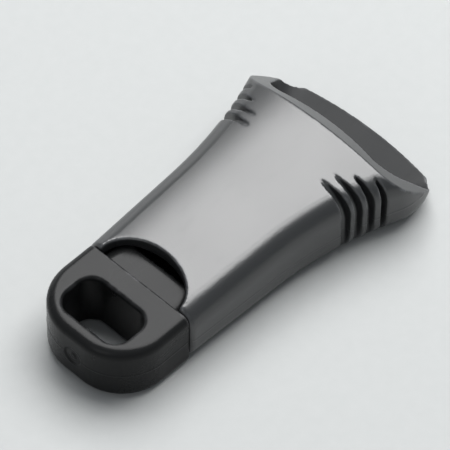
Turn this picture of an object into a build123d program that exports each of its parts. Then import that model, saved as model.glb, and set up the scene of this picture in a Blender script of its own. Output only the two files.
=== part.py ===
from build123d import *
import math
import os

# A pull-release cord lock. X runs along the lock, from its anchor end to its wide pull mouth.
# Y runs across it and Z through it. The flat back lies on Z = 0, and while the pieces are made
# X = 0 is the narrow end of the sleeve. They are then moved so that the origin is the middle of
# the base of the whole lock. All lengths are in millimetres, and the sleeve is at rest: the cord
# slot is closed and the sleeve's narrow end rests on the head of the inner body.

# ---- outer sleeve -------------------------------------------------------------------------------
NARROW_THICK = 7.2
FLARE_END_THICK = 9.05
CROWN_RADIUS = 26.0
SLEEVE_HALF_WIDTH = 6.4
TAPER_END_X = 10.5
TAPER_END_HALF = 6.72
FLARE_END_X = 30.6
FLARE_END_HALF = 13.1
LIP_CORNER = 5.3
SLEEVE_EDGE_RADIUS = 2.4
NARROW_RIM_RADIUS = 0.5
ARCH_RIM_RADIUS = 0.2

MOUTH_FRONT_X = 22.5
MOUTH_LEAN = 1.05
MOUTH_BACK_X = 29.8
MOUTH_BOW_RADIUS = 40.0

BORE_WIDTH = 10.4
BORE_HEIGHT = 4.9
BORE_CORNER = 1.7
BORE_END_X = 13.0
CAVITY_TOP_Z = 6.8
CAVITY_END_HALF = 11.6
CAVITY_EDGE_RADIUS = 2.0

ARCH_HALF_WIDTH = 4.7
ARCH_DEPTH = 3.2

GRIP_COUNT = 4
GRIP_FIRST_X = 18.2
GRIP_PITCH = 1.25
GRIP_DEPTH = 0.75
GRIP_REACH = 5.1
GRIP_REACH_STEP = 1.0
GRIP_BEYOND = 3.0
GRIP_WIDTH = 0.75
GRIP_CORE_START_X = 8.0
GRIP_CORE_BASE_Z = -5.0
GRIP_CORE_PROUD = 0.12
GRIP_CORE_EDGE_RADIUS = 4.2

WEB_X = 9.2
WEB_THICK = 1.2
WEB_HALF_WIDTH = 2.75

# ---- inner body ---------------------------------------------------------------------------------
HEAD_LENGTH = 8.3
HEAD_WIDTH = 12.2
HEAD_THICK = 6.2
HEAD_BASE_Z = 0.1
HEAD_END_RADIUS = 5.0
HEAD_EDGE_RADIUS = 0.9

WINDOW_START_X = -6.7
WINDOW_END_X = -2.3
WINDOW_HALF_WIDTH = 3.7
WINDOW_CORNER = 1.6
WINDOW_RIM_RADIUS = 0.4

SHANK_WIDTH = 10.0
SHANK_HEIGHT = 4.6
SHANK_CORNER = 1.6
SHANK_END_X = 18.4
SHANK_END_CHAMFER = 0.4

SLOT_START_X = 2.7
SLOT_END_X = 7.2
SLOT_HALF_WIDTH = 3.7
SLOT_CORNER = 1.2
SLOT_RIM_RADIUS = 0.5
TOOTH_COUNT = 5
TOOTH_PITCH = 1.2
TOOTH_RADIUS = 0.28
TOOTH_HEIGHT = 3.4

CHANNEL_START_X = 8.7
CHANNEL_HALF_WIDTH = 3.0
NOTCH_DEPTH = 0.8

# ---- spring keeper, spring and pull bar ---------------------------------------------------------
KEEPER_X = 17.0
KEEPER_THICK = 1.0
KEEPER_HEIGHT = 4.2
KEEPER_FIT = 0.03
POST_RADIUS = 1.35
POST_LENGTH = 3.0
POST_CHAMFER = 0.3

SPRING_WIRE = 0.42
SPRING_RADIUS = 1.95
SPRING_TURNS = 6
SPRING_END_GAP = 0.02

BAR_X = 21.2
BAR_Z = 4.0
BAR_RADIUS = 0.9
BAR_FIT = 0.02
BAR_END_GAP = 0.05
BAR_END_CHAMFER = 0.2
SOCKET_DEPTH = 0.5
SOCKET_SLOT_HEIGHT = 1.7

# ---- worked out from them -----------------------------------------------------------------------
MIDDLE_Z = NARROW_THICK / 2
WALL = (NARROW_THICK - BORE_HEIGHT) / 2
FRONT_SLOPE = (FLARE_END_THICK - NARROW_THICK) / FLARE_END_X
MOUTH_TOP_Z = NARROW_THICK + FRONT_SLOPE * MOUTH_FRONT_X
REACH = 60.0
TINY = 0.02


def sleeve_half_width(x):
    """About half the sleeve's outer width at x: a straight taper, then a flare curving outward."""
    slope = (TAPER_END_HALF - SLEEVE_HALF_WIDTH) / TAPER_END_X
    run = FLARE_END_X - TAPER_END_X
    rise = FLARE_END_HALF - TAPER_END_HALF - slope * run
    past = max(0.0, x - TAPER_END_X) / run
    return SLEEVE_HALF_WIDTH + slope * x + rise * past**2


def cavity_half_width(x):
    """About half the width of the hollow inside the sleeve at x."""
    past = max(0.0, x - BORE_END_X) / (FLARE_END_X - BORE_END_X)
    return BORE_WIDTH / 2 + (CAVITY_END_HALF - BORE_WIDTH / 2) * past**2


def is_flat_edge(edge):
    """True for an edge that lies at one height."""
    return edge.bounding_box().size.Z < TINY


def flat_edges_within(solid, low_x, high_x, half_width):
    """The level edges of a hole whose plan lies inside the given range."""
    found = []
    for edge in solid.edges().filter_by(is_flat_edge):
        box = edge.bounding_box()
        inside_x = box.min.X > low_x - TINY and box.max.X < high_x + TINY
        inside_y = box.min.Y > -half_width - TINY and box.max.Y < half_width + TINY
        if inside_x and inside_y:
            found.append(edge)
    return found


def bar_along_x(start_x, end_x, width, height, corner):
    """A bar along X with a rounded rectangular section, centred in the lock's thickness."""
    section = Plane.YZ * RectangleRounded(width, height, corner)
    return Pos(start_x, 0, MIDDLE_Z) * extrude(section, amount=end_x - start_x)


def block(start_x, end_x, half_width, height):
    """A plain block centred in the lock's width and thickness."""
    middle_x = (start_x + end_x) / 2
    return Pos(middle_x, 0, MIDDLE_Z) * Box(end_x - start_x, 2 * half_width, height)


def flared_slab(start, taper, end, low_z, high_z):
    """A slab whose plan is a tapered neck that runs smoothly into a trumpet flare.

    start, taper and end are the plan's corners on the +Y side, each as (x, half width)."""
    side = Line(start, taper)
    flare = TangentArc(taper, end, tangent=(taper[0] - start[0], taper[1] - start[1]))
    rest = Polyline(end, (end[0], 0), (start[0], 0), start)
    half = make_face([side, flare, rest])
    plan = half + mirror(half, about=Plane.XZ)
    return Pos(0, 0, low_z) * extrude(plan, amount=high_z - low_z)


def rounded_slab(start_x, base_z, inset, proud, edge_radius):
    """The sleeve's outer form from start_x on, its sides drawn in and its front face raised.

    Its front face is crowned across and rises towards the mouth. Its long edges are rounded."""
    start = (start_x, sleeve_half_width(start_x) - inset)
    taper = (TAPER_END_X, TAPER_END_HALF - inset)
    end = (FLARE_END_X, FLARE_END_HALF - inset)
    slab = flared_slab(start, taper, end, base_z, FLARE_END_THICK + 1)
    lip_corners = slab.edges().filter_by(Axis.Z).group_by(Axis.X)[-1]
    slab = fillet(lip_corners, LIP_CORNER)
    crown = Pos(0, 0, -CROWN_RADIUS) * Rot(0, 90, 0) * Cylinder(CROWN_RADIUS, 2 * REACH)
    slope = math.degrees(math.atan(FRONT_SLOPE))
    slab &= Pos(0, 0, NARROW_THICK + proud) * Rot(0, -slope, 0) * crown
    long_edges = [
        edge
        for edge in slab.edges()
        if edge.bounding_box().max.X > start_x + TINY
        and edge.bounding_box().size.Z < NARROW_THICK - 1.5
    ]
    return fillet(long_edges, edge_radius)


def past_mouth():
    """All that lies past the bowed mouth, which leans back to the blunt rim of the back wall."""
    past = Cylinder(MOUTH_BOW_RADIUS + REACH, 2 * REACH) - Cylinder(MOUTH_BOW_RADIUS, 2 * REACH)
    past = Pos(-MOUTH_BOW_RADIUS, 0, 0) * past
    lean = math.degrees(math.atan(MOUTH_LEAN))
    past_front = Pos(MOUTH_FRONT_X, 0, MOUTH_TOP_Z) * Rot(0, -lean, 0) * past
    return past_front + Pos(MOUTH_BACK_X, 0, 0) * past


def arch_cutter():
    """A half ellipse through the front and back walls, open to the narrow end."""
    return Pos(0, 0, -1) * extrude(Ellipse(ARCH_DEPTH, ARCH_HALF_WIDTH), amount=FLARE_END_THICK + 2)


def grip_grooves():
    """The finger grooves on both sides of the flare: wedges in plan, pointed on the front face.

    They are cut down to a core that is narrower than the sleeve and rounder at its front edges, so
    each groove is deepest round the sleeve's edge and runs out on the front face."""
    wedges = Part()
    for index in range(GRIP_COUNT):
        x = GRIP_FIRST_X + GRIP_PITCH * index
        side = sleeve_half_width(x)
        tip = (x, side - GRIP_REACH + GRIP_REACH_STEP * index)
        beyond = side + GRIP_BEYOND
        outline = Polyline(tip, (x - GRIP_WIDTH, beyond), (x + GRIP_WIDTH, beyond), close=True)
        wedges += extrude(make_face(outline), amount=FLARE_END_THICK)
    core = rounded_slab(
        GRIP_CORE_START_X, GRIP_CORE_BASE_Z, GRIP_DEPTH, GRIP_CORE_PROUD, GRIP_CORE_EDGE_RADIUS
    )
    grooves = wedges - core
    return grooves + mirror(grooves, about=Plane.XZ)


def bar_sockets():
    """The blind sockets for the pull bar, with the narrower slots it is pushed in along."""
    half = cavity_half_width(BAR_X) + SOCKET_DEPTH
    hole = Pos(BAR_X, 0, BAR_Z) * Rot(90, 0, 0) * Cylinder(BAR_RADIUS + BAR_FIT, 2 * half)
    slot = block(BAR_X, FLARE_END_X, half, SOCKET_SLOT_HEIGHT)
    return hole + Pos(0, 0, BAR_Z - MIDDLE_Z) * slot


def sleeve_outside():
    """The solid outer shape: a rounded, slightly wedge-shaped slab with a leaning mouth."""
    slab = rounded_slab(0.0, 0.0, 0.0, 0.0, SLEEVE_EDGE_RADIUS)
    narrow_rim = slab.faces().sort_by(Axis.X)[0].edges()
    return fillet(narrow_rim, NARROW_RIM_RADIUS) - past_mouth()


def sleeve_hollow():
    """The straight bore that guides the inner body, opening into the flared mouth cavity."""
    start = (BORE_END_X - 1, BORE_WIDTH / 2)
    taper = (BORE_END_X, BORE_WIDTH / 2)
    end = (FLARE_END_X, CAVITY_END_HALF)
    cavity = flared_slab(start, taper, end, WALL, CAVITY_TOP_Z)
    long_edges = [e for e in cavity.edges().filter_by(is_flat_edge) if e.bounding_box().size.X > 2]
    cavity = fillet(long_edges, CAVITY_EDGE_RADIUS)
    return cavity + bar_along_x(-1, BORE_END_X + 0.5, BORE_WIDTH, BORE_HEIGHT, BORE_CORNER)


def make_outer_sleeve():
    """The sleeve that is pulled: shell, arch, grip grooves, spring web and bar sockets."""
    sleeve = sleeve_outside() - arch_cutter()
    arch_rims = [
        edge
        for edge in sleeve.edges()
        if edge.bounding_box().max.X < ARCH_DEPTH + TINY and edge.bounding_box().size.Y > ARCH_DEPTH
    ]
    sleeve = fillet(arch_rims, ARCH_RIM_RADIUS)
    sleeve -= grip_grooves()
    sleeve -= sleeve_hollow()
    sleeve += block(WEB_X, WEB_X + WEB_THICK, WEB_HALF_WIDTH, BORE_HEIGHT + WALL)
    return sleeve - bar_sockets()


def make_head():
    """The end that stays outside the sleeve, with the window that the anchor webbing loops through."""
    hidden = 10.0
    plan = RectangleRounded(HEAD_LENGTH + hidden, HEAD_WIDTH, HEAD_END_RADIUS)
    slab = extrude(Pos((hidden - HEAD_LENGTH) / 2, 0) * plan, amount=HEAD_THICK)
    slab = Pos(0, 0, HEAD_BASE_Z) * slab
    slab &= block(-REACH, 0, REACH, REACH)
    rims = [e for e in slab.edges().filter_by(is_flat_edge) if e.bounding_box().min.X < -TINY]
    head = fillet(rims, HEAD_EDGE_RADIUS)
    window = RectangleRounded(WINDOW_END_X - WINDOW_START_X, 2 * WINDOW_HALF_WIDTH, WINDOW_CORNER)
    window_x = (WINDOW_START_X + WINDOW_END_X) / 2
    head -= Pos(window_x, 0, 0) * extrude(window, amount=NARROW_THICK)
    window_rims = flat_edges_within(head, WINDOW_START_X, WINDOW_END_X, WINDOW_HALF_WIDTH)
    return fillet(window_rims, WINDOW_RIM_RADIUS)


def make_shank():
    """The part that slides in the sleeve: cord slot with pinch teeth, then two rails."""
    shank = bar_along_x(0, SHANK_END_X, SHANK_WIDTH, SHANK_HEIGHT, SHANK_CORNER)
    shank = chamfer(shank.faces().sort_by(Axis.X)[-1].edges(), SHANK_END_CHAMFER)
    slot = RectangleRounded(SLOT_END_X - SLOT_START_X, 2 * SLOT_HALF_WIDTH, SLOT_CORNER)
    slot_x = (SLOT_START_X + SLOT_END_X) / 2
    shank -= Pos(slot_x, 0, 0) * extrude(slot, amount=NARROW_THICK)
    shank = fillet(
        flat_edges_within(shank, SLOT_START_X, SLOT_END_X, SLOT_HALF_WIDTH), SLOT_RIM_RADIUS
    )
    for index in range(TOOTH_COUNT):
        y = (index - (TOOTH_COUNT - 1) / 2) * TOOTH_PITCH
        shank += Pos(SLOT_START_X, y, MIDDLE_Z) * Cylinder(TOOTH_RADIUS, TOOTH_HEIGHT)
    shank -= block(CHANNEL_START_X, SHANK_END_X + 1, CHANNEL_HALF_WIDTH, NARROW_THICK)
    notch_half = CHANNEL_HALF_WIDTH + NOTCH_DEPTH
    return shank - block(KEEPER_X, KEEPER_X + KEEPER_THICK, notch_half, NARROW_THICK)


def make_spring_keeper():
    """The plate that snaps into the rails' notches, with the post that the spring sits on."""
    start_x = KEEPER_X + KEEPER_FIT
    half = CHANNEL_HALF_WIDTH + NOTCH_DEPTH - KEEPER_FIT
    plate = block(start_x, KEEPER_X + KEEPER_THICK - KEEPER_FIT, half, KEEPER_HEIGHT)
    post = Rot(0, 90, 0) * Cylinder(POST_RADIUS, POST_LENGTH)
    post = Pos(start_x - POST_LENGTH / 2, 0, MIDDLE_Z) * post
    post = chamfer(post.faces().sort_by(Axis.X)[0].edges(), POST_CHAMFER)
    return plate + post


def make_return_spring():
    """The compression spring between the sleeve's web and the keeper, its axis along X."""
    start_x = WEB_X + WEB_THICK + SPRING_END_GAP + SPRING_WIRE / 2
    length = KEEPER_X - SPRING_END_GAP - SPRING_WIRE / 2 - start_x
    path = Helix(length / SPRING_TURNS, length, SPRING_RADIUS)
    section = Plane(path @ 0, z_dir=path % 0) * Circle(SPRING_WIRE / 2)
    coil = sweep(section, path=path, is_frenet=True)
    return Pos(start_x, 0, MIDDLE_Z) * Rot(0, 90, 0) * coil


def make_pull_bar():
    """The bar across the mouth that the pull webbing loops round."""
    half = cavity_half_width(BAR_X) + SOCKET_DEPTH - BAR_END_GAP
    bar = Cylinder(BAR_RADIUS, 2 * half)
    bar = chamfer(bar.edges().filter_by(GeomType.CIRCLE), BAR_END_CHAMFER)
    return Pos(BAR_X, 0, BAR_Z) * Rot(90, 0, 0) * bar


PIECES = {
    "outer_sleeve": make_outer_sleeve(),
    "inner_body": make_head() + make_shank(),
    "spring_keeper": make_spring_keeper(),
    "return_spring": make_return_spring(),
    "pull_bar": make_pull_bar(),
}

os.makedirs("parts", exist_ok=True)
low_x = min(piece.bounding_box().min.X for piece in PIECES.values())
high_x = max(piece.bounding_box().max.X for piece in PIECES.values())
origin_x = (low_x + high_x) / 2
print(f"whole lock from x = {low_x:.3f} to {high_x:.3f}, so the origin is at x = {origin_x:.3f}")
for name, piece in PIECES.items():
    export_step(Pos(-origin_x, 0, 0) * piece, f"parts/{name}.step")
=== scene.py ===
import math

import bmesh
import bpy
import numpy as np
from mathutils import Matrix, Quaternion, Vector
from mathutils.bvhtree import BVHTree


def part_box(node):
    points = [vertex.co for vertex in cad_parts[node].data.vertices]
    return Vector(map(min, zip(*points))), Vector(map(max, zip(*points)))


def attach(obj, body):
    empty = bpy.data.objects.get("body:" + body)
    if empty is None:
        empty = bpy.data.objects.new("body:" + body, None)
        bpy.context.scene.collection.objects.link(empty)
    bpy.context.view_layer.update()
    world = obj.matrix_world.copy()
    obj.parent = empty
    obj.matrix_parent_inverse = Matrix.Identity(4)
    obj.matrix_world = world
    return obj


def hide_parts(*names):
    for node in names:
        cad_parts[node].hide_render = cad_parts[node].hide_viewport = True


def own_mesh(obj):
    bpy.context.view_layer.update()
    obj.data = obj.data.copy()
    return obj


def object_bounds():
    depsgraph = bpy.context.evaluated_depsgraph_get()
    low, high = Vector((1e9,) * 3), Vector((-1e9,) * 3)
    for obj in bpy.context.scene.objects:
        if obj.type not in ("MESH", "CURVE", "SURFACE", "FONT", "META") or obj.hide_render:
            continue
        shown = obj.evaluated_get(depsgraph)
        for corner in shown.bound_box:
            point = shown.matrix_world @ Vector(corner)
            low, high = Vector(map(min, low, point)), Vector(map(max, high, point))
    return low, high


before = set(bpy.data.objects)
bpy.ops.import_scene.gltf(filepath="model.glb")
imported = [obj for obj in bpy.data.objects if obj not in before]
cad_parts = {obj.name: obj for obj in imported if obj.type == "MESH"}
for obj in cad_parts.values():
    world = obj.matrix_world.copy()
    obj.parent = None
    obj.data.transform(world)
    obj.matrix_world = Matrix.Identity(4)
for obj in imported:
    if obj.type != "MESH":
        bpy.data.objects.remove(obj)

# A black plastic pull-release cord lock. Everything is in metres, in the CAD model's frame: X runs
# from the anchor end to the pull mouth, Z comes out of the front face, and the back lies on Z = 0.

MM = 0.001
CAD_LOW, CAD_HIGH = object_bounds()

# Edge wear is none below the first bulge and full above the second, in 1/mm, after some blurring.
EDGE_BULGE_LOW = 1.1
EDGE_BULGE_HIGH = 2.6
EDGE_BLUR_PASSES = 4

# The sleeve's front face is a cylinder of this radius, lying along a slightly rising axis. Points
# count as part of it when they are this near it and face within these angles of it.
CROWN_RADIUS = 26 * MM
CROWN_START_THICK = 7.2 * MM
CROWN_RISE = 1.85 / 30.6
CROWN_FULL_COS = math.cos(math.radians(2.5))
CROWN_NONE_COS = math.cos(math.radians(5))
CROWN_MAX_GAP = 0.04 * MM

# The mould halves met at half the inner body's height. The raised line there is a bell curve, made
# on surfaces that aren't too flat for it, out to a few half widths.
PARTING_HEIGHT = (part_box("inner_body")[0][2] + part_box("inner_body")[1][2]) / 2
PARTING_HALF_WIDTH = 0.07 * MM
PARTING_REACH = 2.5
PARTING_MAX_NORMAL_Z = 0.6
SLEEVE_PARTING_RISE = 0.035 * MM
BODY_PARTING_RISE = 0.03 * MM

# A point is on the outside when a ray that starts this many mm above it meets nothing over this
# many metres, which is longer than the lock.
OUTSIDE_LIFT = 0.05
OUTSIDE_RAY = 0.05

# The sleeve's end rests on the head here, and the parting lines stop this far from it.
SEAM_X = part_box("outer_sleeve")[0][0]
SEAM_MARGIN = 0.15 * MM

# How far a surface turns to the piece's middle, from outside to inside, and to its ends.
INSIDE_FACING = (0.05, 0.3)
INSIDE_END_ON = (0.55, 0.65)
# Inside surfaces keep this share of their gloss: painted shade for the shaded hollow of the mouth.
INSIDE_SHADE_SPECULAR_SHARE = 0.3

# A pressed mark's edge is this soft, and only points near its face that turn to it are moved.
DISC_SOFTNESS = 0.08 * MM
DISC_NEAR = 0.3 * MM
DISC_FACING = -0.8

# Ejector marks: the sleeve's are a share of its length and a distance across in mm.
SLEEVE_EJECTORS = ((0.3, 0), (0.72, 4.2), (0.72, -4.2))
BODY_EJECTOR_X = 6.6 * MM
BODY_EJECTOR_SIDES = (-5.4, 5.4)

# The spark-eroded grain of the mould.
GRAIN_MM = 0.16
GRAIN_HEIGHT_MM = 0.003

# The return spring. Its dead turns at each end lie closed, and they open over one turn.
WIRE_RADIUS = 0.21 * MM
COIL_TURNS = 7.0
DEAD_TURNS = 1.1
OPENING = 0.4
STEPS_PER_TURN = 40
CLOSED_PITCH = 2.02
WIRE_SIDES = 16


# ---- mesh helpers -------------------------------------------------------------------------------
def add_object(name, mesh):
    """Links a new object that holds mesh."""
    obj = bpy.data.objects.new(name, mesh)
    bpy.context.scene.collection.objects.link(obj)
    return obj


def evaluated_mesh(obj):
    """The object's mesh with its modifiers applied."""
    graph = bpy.context.evaluated_depsgraph_get()
    return bpy.data.meshes.new_from_object(obj.evaluated_get(graph))


def points_of(mesh):
    """The mesh's vertices as rows of x, y, z."""
    flat = np.empty(3 * len(mesh.vertices))
    mesh.vertices.foreach_get("co", flat)
    return flat.reshape(-1, 3)


def set_points(mesh, points):
    """Moves the mesh's vertices to the given rows of x, y, z."""
    mesh.vertices.foreach_set("co", np.ascontiguousarray(points, dtype=float).reshape(-1))
    mesh.update()


def moulded(node, name, voxel_mm, smooth_passes):
    """A dense, even mesh of a CAD node with every edge softened as a moulding's edges are."""
    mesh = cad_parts[node].data.copy()
    set_points(mesh, points_of(mesh) / MM)
    sculpt = bmesh.new()
    sculpt.from_mesh(mesh)
    bmesh.ops.remove_doubles(sculpt, verts=sculpt.verts, dist=0.0005)
    sculpt.to_mesh(mesh)
    sculpt.free()
    draft = add_object(name + "_draft", mesh)
    remesh = draft.modifiers.new("remesh", "REMESH")
    remesh.mode = "VOXEL"
    remesh.voxel_size = voxel_mm
    soften = draft.modifiers.new("soften", "SMOOTH")
    soften.factor = 0.5
    soften.iterations = smooth_passes
    final = evaluated_mesh(draft)
    bpy.data.objects.remove(draft)
    set_points(final, points_of(final) * MM)
    final.name = name
    final.materials.clear()
    final.polygons.foreach_set("use_smooth", [True] * len(final.polygons))
    mark_edges(final)
    return add_object(name, final)


def mark_edges(mesh):
    """Stores how sharply each vertex bulges, 0 to 1, as the attribute that edge wear follows."""
    ends = np.empty(2 * len(mesh.edges), dtype=np.int64)
    mesh.edges.foreach_get("vertices", ends)
    ends = ends.reshape(-1, 2)
    count = len(mesh.vertices)
    here = np.concatenate((ends[:, 0], ends[:, 1]))
    there = np.concatenate((ends[:, 1], ends[:, 0]))
    degree = np.bincount(here, minlength=count)

    def around(values):
        """The mean of a value over each vertex's neighbours."""
        return np.bincount(here, weights=values[there], minlength=count) / degree

    points = points_of(mesh)
    normals = vertex_normals(mesh)
    inward = points - np.column_stack([around(points[:, axis]) for axis in range(3)])
    spacing = np.linalg.norm(points[ends[:, 0]] - points[ends[:, 1]], axis=1).mean()
    bulge = 4 * np.einsum("ij,ij->i", inward, normals) / spacing**2 * MM
    for _ in range(EDGE_BLUR_PASSES):
        bulge = (bulge + around(bulge)) / 2
    edge = mesh.attributes.new("edge", "FLOAT", "POINT")
    edge.data.foreach_set("value", smooth_step(bulge, EDGE_BULGE_LOW, EDGE_BULGE_HIGH))


def smooth_step(value, low, high):
    """0 below low, 1 above high and a smooth rise between them, for an array."""
    share = np.clip((value - low) / (high - low), 0, 1)
    return share * share * (3 - 2 * share)


def vertex_normals(mesh):
    """The mesh's vertex normals as rows of x, y, z."""
    flat = np.empty(3 * len(mesh.vertices))
    mesh.vertices.foreach_get("normal", flat)
    return flat.reshape(-1, 3)


def raise_parting_line(obj, rise):
    """A fine raised line round the outside of a moulding, where its mould halves met.

    It stays off the seam where the sleeve's end rests on the head, so the two don't cross there.
    """
    points = points_of(obj.data)
    normals = vertex_normals(obj.data)
    above = (points[:, 2] - PARTING_HEIGHT) / PARTING_HALF_WIDTH
    steep = np.abs(normals[:, 2]) < PARTING_MAX_NORMAL_Z
    off_seam = np.abs(points[:, 0] - SEAM_X) > SEAM_MARGIN
    near = np.flatnonzero((np.abs(above) < PARTING_REACH) & steep & off_seam)
    tree = BVHTree.FromObject(obj, bpy.context.evaluated_depsgraph_get())
    for index in near:
        normal = Vector(normals[index])
        start = Vector(points[index]) + normal * OUTSIDE_LIFT * MM
        if tree.ray_cast(start, normal, OUTSIDE_RAY)[0] is None:
            points[index] += normals[index] * rise * math.exp(-above[index] ** 2)
    set_points(obj.data, np.clip(points, CAD_LOW, CAD_HIGH))


def true_crown(obj, start_x):
    """Moves a faceted front face onto the exact cylinder that it stands for."""
    points = points_of(obj.data)
    slope = math.atan(CROWN_RISE)
    along = np.array((math.cos(slope), 0.0, math.sin(slope)))
    upward = np.array((-math.sin(slope), 0.0, math.cos(slope)))
    offset = points - np.array((start_x, 0, CROWN_START_THICK)) + CROWN_RADIUS * upward
    offset -= np.outer(offset @ along, along)
    distance = np.linalg.norm(offset, axis=1)
    outward = offset / distance[:, None]
    gap = CROWN_RADIUS - distance
    facing = np.einsum("ij,ij->i", outward, vertex_normals(obj.data))
    share = smooth_step(facing, CROWN_NONE_COS, CROWN_FULL_COS)
    share *= np.abs(gap) < CROWN_MAX_GAP
    points += outward * (gap * share)[:, None]
    set_points(obj.data, np.clip(points, CAD_LOW, CAD_HIGH))


def mark_inside(obj):
    """Stores 1 where a surface faces the middle of the piece, as the attribute "inside"."""
    points = points_of(obj.data)
    normals = vertex_normals(obj.data)
    rise = PARTING_HEIGHT - points[:, 2]
    toward = np.column_stack((np.zeros(len(points)), -points[:, 1], rise))
    facing = np.einsum("ij,ij->i", normals, toward) / np.linalg.norm(toward, axis=1)
    end_on = smooth_step(np.abs(normals[:, 0]), *INSIDE_END_ON)
    share = smooth_step(facing, *INSIDE_FACING) * (1 - end_on)
    inside = obj.data.attributes.new("inside", "FLOAT", "POINT")
    inside.data.foreach_set("value", share)


def press_disc(obj, centre, axis, radius, depth):
    """A shallow round mark, pressed along axis into the face at centre."""
    points = points_of(obj.data)
    normals = vertex_normals(obj.data)
    axis = np.array(axis, dtype=float)
    offset = points - np.array(centre)
    along = offset @ axis
    away = np.linalg.norm(offset - np.outer(along, axis), axis=1)
    share = 1 - smooth_step(away, radius - DISC_SOFTNESS, radius + DISC_SOFTNESS)
    on_face = (np.abs(along) < DISC_NEAR) & (normals @ axis < DISC_FACING)
    points += np.outer(share * on_face * depth, axis)
    set_points(obj.data, points)


def tube_mesh(name, line, radius, sides):
    """A closed tube of the given radius along a line of points, with flat caps."""
    line = np.array(line)
    tangents = np.gradient(line, axis=0)
    tangents /= np.linalg.norm(tangents, axis=1)[:, None]
    across = np.cross(tangents, (1.0, 0.0, 0.0))
    across /= np.linalg.norm(across, axis=1)[:, None]
    other = np.cross(tangents, across)
    angles = np.arange(sides) * 2 * math.pi / sides
    ring = np.cos(angles)[None, :, None] * across[:, None]
    ring = ring + np.sin(angles)[None, :, None] * other[:, None]
    points = (line[:, None] + radius * ring).reshape(-1, 3)
    faces = []
    for step in range(len(line) - 1):
        for side in range(sides):
            here = step * sides + side
            beside = step * sides + (side + 1) % sides
            faces.append((here, beside, beside + sides, here + sides))
    faces.append(tuple(range(sides))[::-1])
    faces.append(tuple(range(len(points) - sides, len(points))))
    mesh = bpy.data.meshes.new(name)
    mesh.from_pydata(points.tolist(), [], faces)
    return mesh


# ---- materials ----------------------------------------------------------------------------------
def new_material(name):
    """An empty material with a Principled shader: (material, its nodes, its links, the shader)."""
    material = bpy.data.materials.new(name)
    material.use_nodes = True
    nodes = material.node_tree.nodes
    links = material.node_tree.links
    return material, nodes, links, nodes["Principled BSDF"]


def noise(nodes, links, coordinates, feature_mm, detail):
    """A noise texture whose features are about feature_mm across."""
    texture = nodes.new("ShaderNodeTexNoise")
    texture.inputs["Scale"].default_value = 1 / (feature_mm * MM)
    texture.inputs["Detail"].default_value = detail
    links.new(coordinates, texture.inputs["Vector"])
    return texture.outputs["Fac"]


def span(nodes, links, value, from_low, from_high, to_low, to_high):
    """value mapped from one range to another, and held inside it."""
    node = nodes.new("ShaderNodeMapRange")
    node.inputs["From Min"].default_value = from_low
    node.inputs["From Max"].default_value = from_high
    node.inputs["To Min"].default_value = to_low
    node.inputs["To Max"].default_value = to_high
    links.new(value, node.inputs["Value"])
    return node.outputs["Result"]


def product(nodes, links, first, second):
    """first times second."""
    node = nodes.new("ShaderNodeMath")
    node.operation = "MULTIPLY"
    links.new(first, node.inputs[0])
    links.new(second, node.inputs[1])
    return node.outputs["Value"]


def plastic(name, color, roughness, worn_color, specular=0.5):
    """Moulded black acetal: spark-eroded grain, faint handling scuffs and paler, rubbed edges."""
    material, nodes, links, shader = new_material(name)
    place = nodes.new("ShaderNodeTexCoord").outputs["Object"]
    shader.inputs["Specular IOR Level"].default_value = specular

    edge = nodes.new("ShaderNodeAttribute")
    edge.attribute_name = "edge"
    patches = span(nodes, links, noise(nodes, links, place, 0.8, 4), 0.4, 0.7, 0, 1)
    rubbed = product(nodes, links, edge.outputs["Fac"], patches)
    tint = nodes.new("ShaderNodeMix")
    tint.data_type = "RGBA"
    tint.inputs["A"].default_value = (*color, 1)
    tint.inputs["B"].default_value = (*worn_color, 1)
    links.new(rubbed, tint.inputs["Factor"])
    links.new(tint.outputs["Result"], shader.inputs["Base Color"])

    stretched = nodes.new("ShaderNodeMapping")
    stretched.inputs["Rotation"].default_value = (0.3, 0.2, 0.5)
    stretched.inputs["Scale"].default_value = (0.12, 1, 1)
    links.new(place, stretched.inputs["Vector"])
    streaks = noise(nodes, links, stretched.outputs["Vector"], 0.25, 3)
    scuffs = span(nodes, links, streaks, 0.58, 0.74, 0, 1)
    gloss = noise(nodes, links, place, 6.0, 2)
    even = span(nodes, links, gloss, 0.3, 0.7, roughness - 0.02, roughness + 0.02)
    uneven = nodes.new("ShaderNodeMath")
    uneven.operation = "MULTIPLY_ADD"
    uneven.inputs[1].default_value = 0.05
    links.new(scuffs, uneven.inputs[0])
    links.new(even, uneven.inputs[2])
    links.new(uneven.outputs["Value"], shader.inputs["Roughness"])

    bump = nodes.new("ShaderNodeBump")
    bump.inputs["Distance"].default_value = GRAIN_HEIGHT_MM * MM
    links.new(noise(nodes, links, place, GRAIN_MM, 2), bump.inputs["Height"])
    links.new(bump.outputs["Normal"], shader.inputs["Normal"])
    return material


def dull_and_shade_inside(material, roughness, specular):
    """Makes the surfaces marked "inside" matt by adding to the roughness, and dims their gloss as
    painted shade for the shaded hollow of the mouth.
    """
    nodes = material.node_tree.nodes
    links = material.node_tree.links
    shader = nodes["Principled BSDF"]
    inside = nodes.new("ShaderNodeAttribute")
    inside.attribute_name = "inside"
    added = nodes.new("ShaderNodeMath")
    links.new(shader.inputs["Roughness"].links[0].from_socket, added.inputs[0])
    links.new(span(nodes, links, inside.outputs["Fac"], 0, 1, 0, roughness), added.inputs[1])
    links.new(added.outputs["Value"], shader.inputs["Roughness"])
    dim = INSIDE_SHADE_SPECULAR_SHARE * specular
    dimmed = span(nodes, links, inside.outputs["Fac"], 0, 1, specular, dim)
    links.new(dimmed, shader.inputs["Specular IOR Level"])


def steel(name):
    """Bright drawn spring wire with faint drawing lines."""
    material, nodes, links, shader = new_material(name)
    place = nodes.new("ShaderNodeTexCoord").outputs["Object"]
    shader.inputs["Base Color"].default_value = (0.62, 0.62, 0.6, 1)
    shader.inputs["Metallic"].default_value = 1
    streaks = noise(nodes, links, place, 0.15, 3)
    links.new(span(nodes, links, streaks, 0.3, 0.7, 0.18, 0.34), shader.inputs["Roughness"])
    return material


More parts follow.
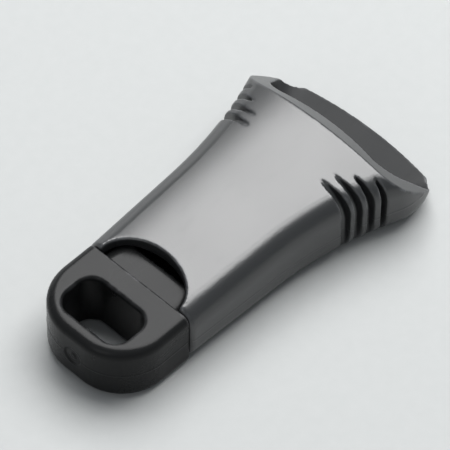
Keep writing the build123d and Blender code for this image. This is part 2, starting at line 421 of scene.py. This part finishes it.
def floor_paper(name):
    """The pale, matt surface under the lock."""
    material, nodes, links, shader = new_material(name)
    place = nodes.new("ShaderNodeTexCoord").outputs["Object"]
    tint = nodes.new("ShaderNodeMix")
    tint.data_type = "RGBA"
    tint.inputs["A"].default_value = (0.36, 0.368, 0.366, 1)
    tint.inputs["B"].default_value = (0.385, 0.393, 0.39, 1)
    links.new(noise(nodes, links, place, 1.2, 4), tint.inputs["Factor"])
    links.new(tint.outputs["Result"], shader.inputs["Base Color"])
    shader.inputs["Roughness"].default_value = 0.85
    return material


# ---- pieces -------------------------------------------------------------------------------------
def place_piece(obj, material, body, node):
    """Finishes a piece that stands for a CAD node: its material and body, and hides the node."""
    obj.data.materials.append(material)
    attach(obj, body)
    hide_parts(node)


def make_sleeve():
    """The sleeve: softened moulding with its parting line and the ejector marks on its back."""
    sleeve = moulded("outer_sleeve", "sleeve_shell", 0.09, 10)
    low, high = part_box("outer_sleeve")
    true_crown(sleeve, low[0])
    mark_inside(sleeve)
    raise_parting_line(sleeve, SLEEVE_PARTING_RISE)
    for share, side in SLEEVE_EJECTORS:
        mark = (low[0] + share * (high[0] - low[0]), side * MM, low[2])
        press_disc(sleeve, mark, (0, 0, 1), radius=1.1 * MM, depth=0.06 * MM)
    specular = 0.8
    finish = plastic(
        "sleeve_acetal", (0.014, 0.0148, 0.0155), 0.3, (0.055, 0.057, 0.06), specular
    )
    # The inside surfaces: a rougher, matt core side, with their gloss dimmed as painted shade.
    dull_and_shade_inside(finish, 0.3, specular)
    place_piece(sleeve, finish, "sleeve", "outer_sleeve")


def make_inner_body():
    """The inner body: softened moulding with a parting line, a gate mark and ejector marks."""
    body = moulded("inner_body", "anchor_body", 0.08, 6)
    low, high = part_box("inner_body")
    raise_parting_line(body, BODY_PARTING_RISE)
    recess = 0.12 * MM
    gate = (low[0], 0, PARTING_HEIGHT)
    press_disc(body, gate, (1, 0, 0), radius=0.95 * MM, depth=recess)
    stub = (low[0] + recess, 0, PARTING_HEIGHT)
    press_disc(body, stub, (1, 0, 0), radius=0.35 * MM, depth=-0.09 * MM)
    for side in BODY_EJECTOR_SIDES:
        mark = (low[0] + BODY_EJECTOR_X, side * MM, low[2])
        press_disc(body, mark, (0, 0, 1), radius=0.45 * MM, depth=0.05 * MM)
    # Painted shade: the body is the sleeve's plastic with a darker base colour and a far lower
    # specular level, because the head lies in shade under the cords.
    finish = plastic("body_acetal_shaded", (0.008, 0.0083, 0.0085), 0.28, (0.05, 0.05, 0.052), 0.14)
    place_piece(body, finish, "inner", "inner_body")


def make_coil():
    """The return spring: closed end turns, ground flat."""
    low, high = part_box("return_spring")
    wire = WIRE_RADIUS
    mean_radius = (high[1] - low[1]) / 2 - wire
    axis_z = (low[2] + high[2]) / 2
    turn = np.linspace(0, COIL_TURNS, int(COIL_TURNS * STEPS_PER_TURN) + 1)
    opened = smooth_step(turn, DEAD_TURNS - OPENING, DEAD_TURNS + OPENING)
    closing = COIL_TURNS - DEAD_TURNS
    closed = smooth_step(turn, closing - OPENING, closing + OPENING)
    first = low[0] + 0.5 * wire
    last = high[0] - 0.5 * wire
    climb = np.cumsum(opened * (1 - closed))
    active = last - first - CLOSED_PITCH * wire * COIL_TURNS
    along = first + CLOSED_PITCH * wire * turn + active * climb / climb[-1]
    angle = 2 * math.pi * turn
    across = mean_radius * np.cos(angle)
    up = axis_z + mean_radius * np.sin(angle)
    mesh = tube_mesh("return_coil", np.column_stack((along, across, up)), wire, WIRE_SIDES)
    points = points_of(mesh)
    points[:, 0] = np.clip(points[:, 0], low[0], high[0])
    set_points(mesh, points)
    mesh.polygons.foreach_set("use_smooth", [True] * len(mesh.polygons))
    coil = add_object("return_coil", mesh)
    place_piece(coil, steel("spring_wire"), "inner", "return_spring")
    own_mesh(coil)


make_sleeve()
make_inner_body()
make_coil()
keeper_finish = plastic("keeper_acetal", (0.02, 0.02, 0.021), 0.36, (0.07, 0.07, 0.07))
keeper = moulded("spring_keeper", "keeper_plate", 0.06, 2)
place_piece(keeper, keeper_finish, "inner", "spring_keeper")
bar = moulded("pull_bar", "cross_bar", 0.06, 2)
place_piece(bar, keeper_finish, "sleeve", "pull_bar")

# ---- stage --------------------------------------------------------------------------------------
centre = (CAD_LOW + CAD_HIGH) / 2

# The floor lies just under the flat back, so that the two don't flicker through each other.
FLOOR_REACH = 1.5
FLOOR_Z = -0.02 * MM
floor_mesh = bpy.data.meshes.new("floor")
corners = [(-FLOOR_REACH, -FLOOR_REACH, FLOOR_Z), (FLOOR_REACH, -FLOOR_REACH, FLOOR_Z)]
corners += [(FLOOR_REACH, FLOOR_REACH, FLOOR_Z), (-FLOOR_REACH, FLOOR_REACH, FLOOR_Z)]
floor_mesh.from_pydata(corners, [], [(0, 1, 2, 3)])
floor = add_object("floor", floor_mesh)
floor.data.materials.append(floor_paper("floor_paper"))


def softbox(name, direction, distance, size, radiance):
    """A rectangular soft light that faces the lock from the given direction."""
    data = bpy.data.lights.new(name, "AREA")
    data.shape = "RECTANGLE"
    data.size = size[0]
    data.size_y = size[1]
    data.energy = radiance * math.pi * size[0] * size[1]
    light = bpy.data.objects.new(name, data)
    bpy.context.scene.collection.objects.link(light)
    toward = Vector(direction).normalized()
    light.location = centre + toward * distance
    light.rotation_mode = "QUATERNION"
    light.rotation_quaternion = toward.to_track_quat("Z", "Y")


softbox("key_light", (0.42, 0.16, 0.89), 0.50, (0.56, 0.40), 8.0)
softbox("edge_light", (0.45, 0.87, 0.19), 0.60, (0.50, 0.24), 1.1)
softbox("fill_light", (-0.8, -0.1, 0.5), 0.60, (0.3, 0.3), 1.0)

world = bpy.data.worlds.new("studio")
world.use_nodes = True
world.node_tree.nodes["Background"].inputs["Color"].default_value = (0.9, 0.95, 1.0, 1)
world.node_tree.nodes["Background"].inputs["Strength"].default_value = 0.35
bpy.context.scene.world = world
bpy.context.scene.view_settings.view_transform = "Standard"

# ---- camera -------------------------------------------------------------------------------------
CAMERA_AZIMUTH = math.radians(-46.75)
CAMERA_ELEVATION = math.radians(52.0)
CAMERA_ROLL = math.radians(0.9)
CAMERA_DISTANCE = 0.441

camera_data = bpy.data.cameras.new("camera")
camera_data.lens = 400
camera_data.clip_start = 0.01
camera = bpy.data.objects.new("camera", camera_data)
bpy.context.scene.collection.objects.link(camera)
level = math.cos(CAMERA_ELEVATION)
back = Vector(
    (
        math.sin(CAMERA_AZIMUTH) * level,
        -math.cos(CAMERA_AZIMUTH) * level,
        math.sin(CAMERA_ELEVATION),
    )
)
camera.location = centre + back * CAMERA_DISTANCE
camera.rotation_mode = "QUATERNION"
roll = Quaternion((0, 0, 1), CAMERA_ROLL)
camera.rotation_quaternion = back.to_track_quat("Z", "Y") @ roll
bpy.context.scene.camera = camera
